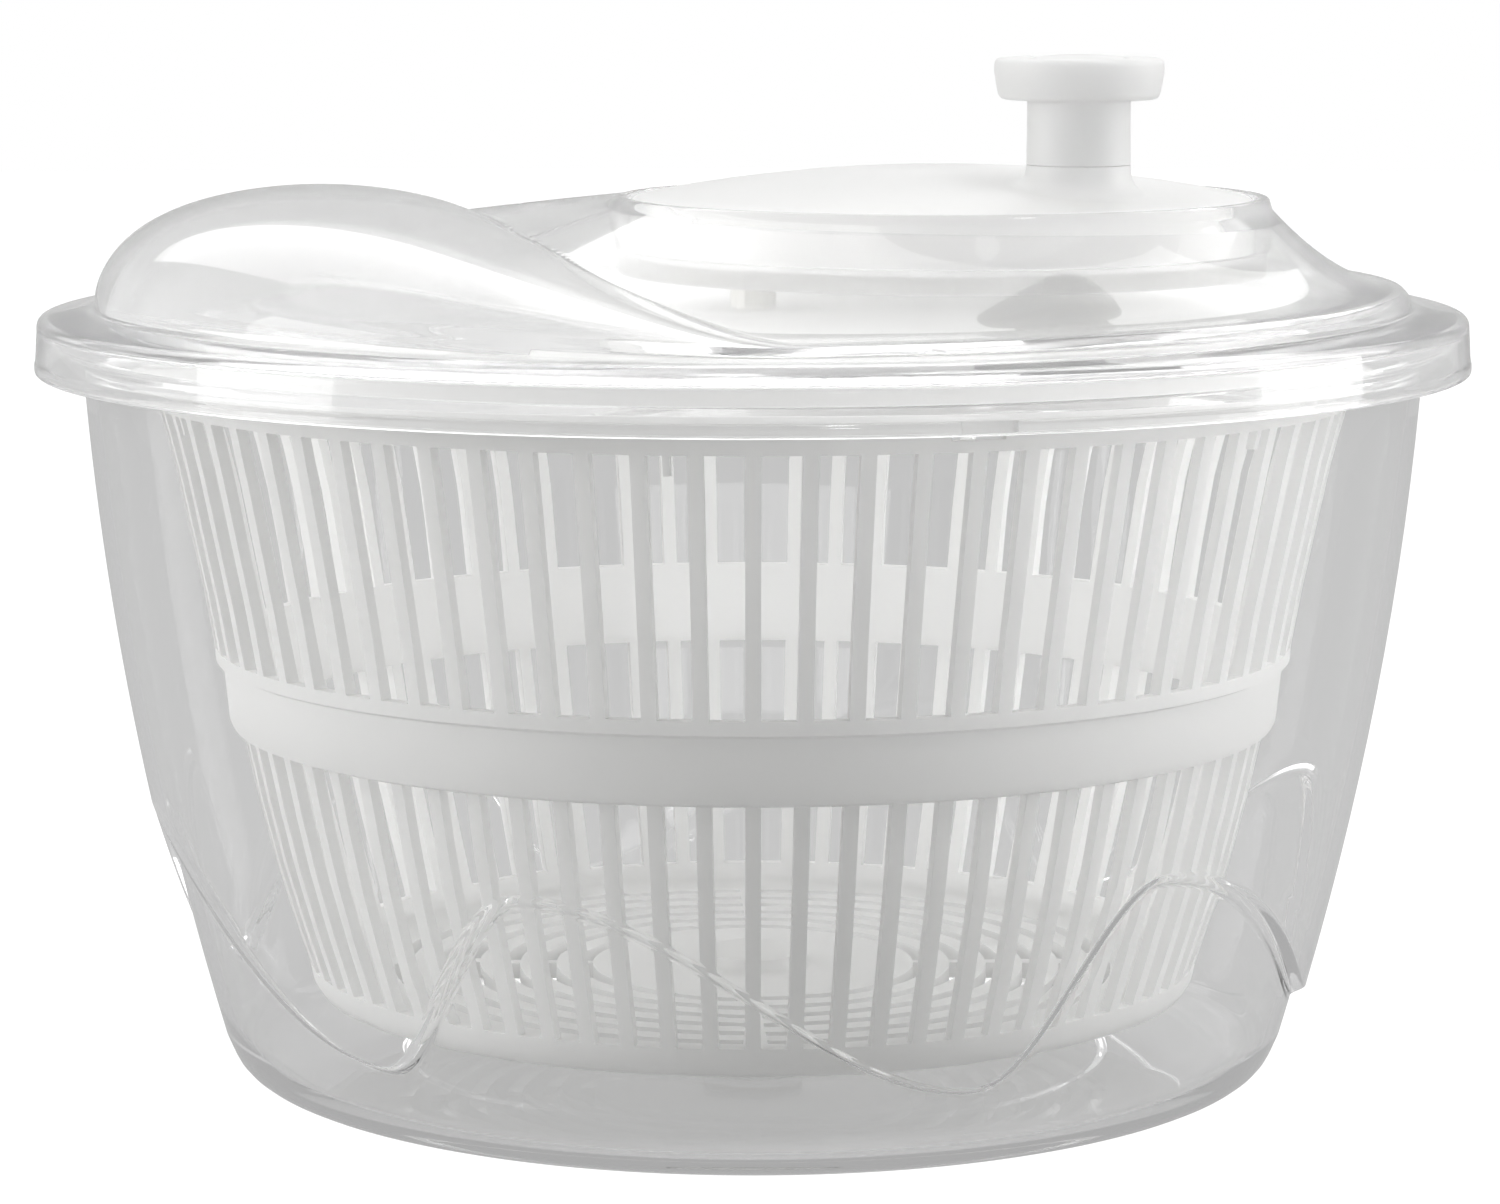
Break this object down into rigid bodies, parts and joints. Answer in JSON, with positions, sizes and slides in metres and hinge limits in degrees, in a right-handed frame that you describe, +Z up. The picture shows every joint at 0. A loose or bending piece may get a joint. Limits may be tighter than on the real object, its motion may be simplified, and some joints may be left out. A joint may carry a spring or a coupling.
{
  "type": "salad spinner",
  "caption": "Hand-cranked salad spinner: clear bowl, white slatted basket turned by a geared off-centre crank disc with a knob in a clear lid.",
  "frame": {"origin": "centre of the bowl's foot, on the surface that it stands on", "axes": "+Z up, the front looks along -Y, the crank disc is off to +X"},
  "size_m": [0.25, 0.25, 0.1793],
  "materials": {
    "clear_plastic": "polished clear styrene",
    "white_plastic": "moulded white polypropylene, soft sheen",
    "nylon": "natural acetal",
    "steel": "zinc-plated steel"
  },
  "bodies": {
    "bowl": {"outer_bowl": "clear_plastic"},
    "lid": {"lid": "clear_plastic", "gear_carrier": "clear_plastic", "crank_bush": "nylon", "pinion_bush": "nylon"},
    "crank": {"crank_disc": "white_plastic", "ring_gear": "nylon", "crank_washer": "steel", "crank_screw": "steel", "knob_washer": "steel", "knob_screw": "steel"},
    "knob": {"knob": "white_plastic", "knob_cap": "white_plastic"},
    "drive": {"pinion": "nylon", "thrust_washer": "nylon", "drive_plate": "white_plastic", "drive_washer": "steel", "drive_screw": "steel"},
    "bearing": {"basket_bearing": "nylon"},
    "basket": {"basket": "white_plastic"}
  },
  "joints": [
    {"name": "lid_lift", "type": "slide", "parent": "bowl", "child": "lid", "axis": [0, 0, 1], "range_m": [0, 0.26]},
    {"name": "crank_turn", "type": "hinge", "parent": "lid", "child": "crank", "pos_m": [0.033, 0, 0.1537], "axis": [0, 0, 1], "continuous": true},
    {"name": "knob_turn", "type": "hinge", "parent": "crank", "child": "knob", "pos_m": [0.055, -0.028, 0.165], "axis": [0, 0, 1], "continuous": true},
    {"name": "drive_turn", "type": "hinge", "parent": "lid", "child": "drive", "pos_m": [0, 0, 0.14], "axis": [0, 0, 1], "continuous": true},
    {"name": "basket_lift", "type": "slide", "parent": "bowl", "child": "bearing", "axis": [0, 0, 1], "range_m": [0, 0.13]},
    {"name": "basket_turn", "type": "hinge", "parent": "bearing", "child": "basket", "pos_m": [0, 0, 0.015], "axis": [0, 0, 1], "continuous": true}
  ],
  "couplings": [
    {"joint": "drive_turn", "follows": "crank_turn", "ratio": 3.75},
    {"joint": "basket_turn", "follows": "crank_turn", "ratio": 3.75},
    {"joint": "basket_lift", "follows": "lid_lift", "ratio": 0.5}
  ]
}
